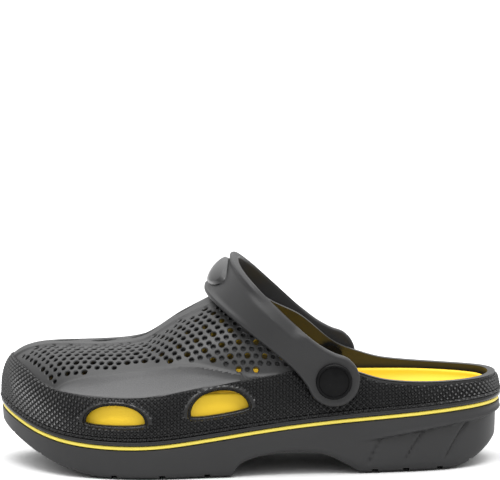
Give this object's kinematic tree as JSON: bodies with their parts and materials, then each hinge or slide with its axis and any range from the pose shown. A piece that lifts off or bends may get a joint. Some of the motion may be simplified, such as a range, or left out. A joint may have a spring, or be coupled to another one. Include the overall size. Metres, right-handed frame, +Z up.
{
  "type": "rubber garden clog",
  "caption": "Left moulded foam clog with vented upper, cupped yellow insole, foxing stripe, arched sole and a heel strap that swings on side rivets.",
  "frame": {"origin": "middle of the clog's footprint box, on the floor that the tread stands on", "axes": "+X towards the heel and -X towards the toe, -Y towards the outer side of the left foot, +Z up"},
  "size_m": [0.29, 0.1252, 0.1217],
  "materials": {
    "outsole_rubber": "matt, finely grained",
    "stripe_yellow": "satin",
    "upper_foam": "satin, grained, with knurled and perforated panels",
    "insole_foam": "matt, dimpled",
    "strap_foam": "satin, finely grained",
    "badge_gloss": "semi-gloss, blank",
    "rivet_black": "gloss"
  },
  "bodies": {
    "shell": {"outsole": "outsole_rubber", "foxing_stripe": "stripe_yellow", "upper_shell": "upper_foam", "insole": "insole_foam", "rivet_cap_outer": "rivet_black", "rivet_stud_outer": "rivet_black", "rivet_cap_inner": "rivet_black", "rivet_stud_inner": "rivet_black"},
    "strap": {"heel_strap": "strap_foam", "strap_badge": "badge_gloss"}
  },
  "joints": [
    {"name": "strap_swing", "type": "hinge", "parent": "shell", "child": "strap", "pos_m": [0.04713, 0, 0.055], "axis": [0, 1, 0], "range_deg": [0, 124]}
  ]
}
